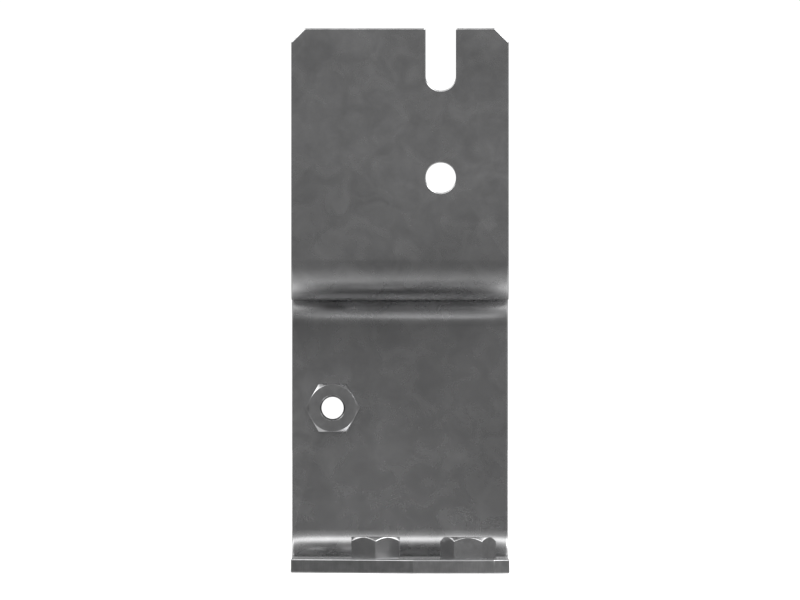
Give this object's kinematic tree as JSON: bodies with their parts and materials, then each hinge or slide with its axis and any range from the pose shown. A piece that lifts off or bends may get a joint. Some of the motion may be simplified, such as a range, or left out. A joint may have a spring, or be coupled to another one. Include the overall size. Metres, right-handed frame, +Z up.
{
  "type": "roof anchor",
  "caption": "Sheet-steel roof anchor bracket: wide base flange, upright, forward shelf and upper plate with an open slot and a bolt hole, with hex weld nuts for screws.",
  "frame": {"origin": "Middle of the bounding box in X and Y, at the underside of the base flange.", "axes": "+X to the right seen from the front, +Y to the back (the base flange points to -Y), +Z up."},
  "size_m": [0.0508, 0.0762, 0.127],
  "materials": {
    "galvanised_sheet": "dull dark grey galvanised steel with soft cloudy mottling, slightly glossier on the bends",
    "nut_steel": "dull dark grey zinc-coated steel, brighter along worn edges"
  },
  "bodies": {
    "root": {"anchor_plate": "galvanised_sheet", "upright_weld_nut": "nut_steel", "base_weld_nut_left": "nut_steel", "base_weld_nut_right": "nut_steel"}
  },
  "joints": []
}
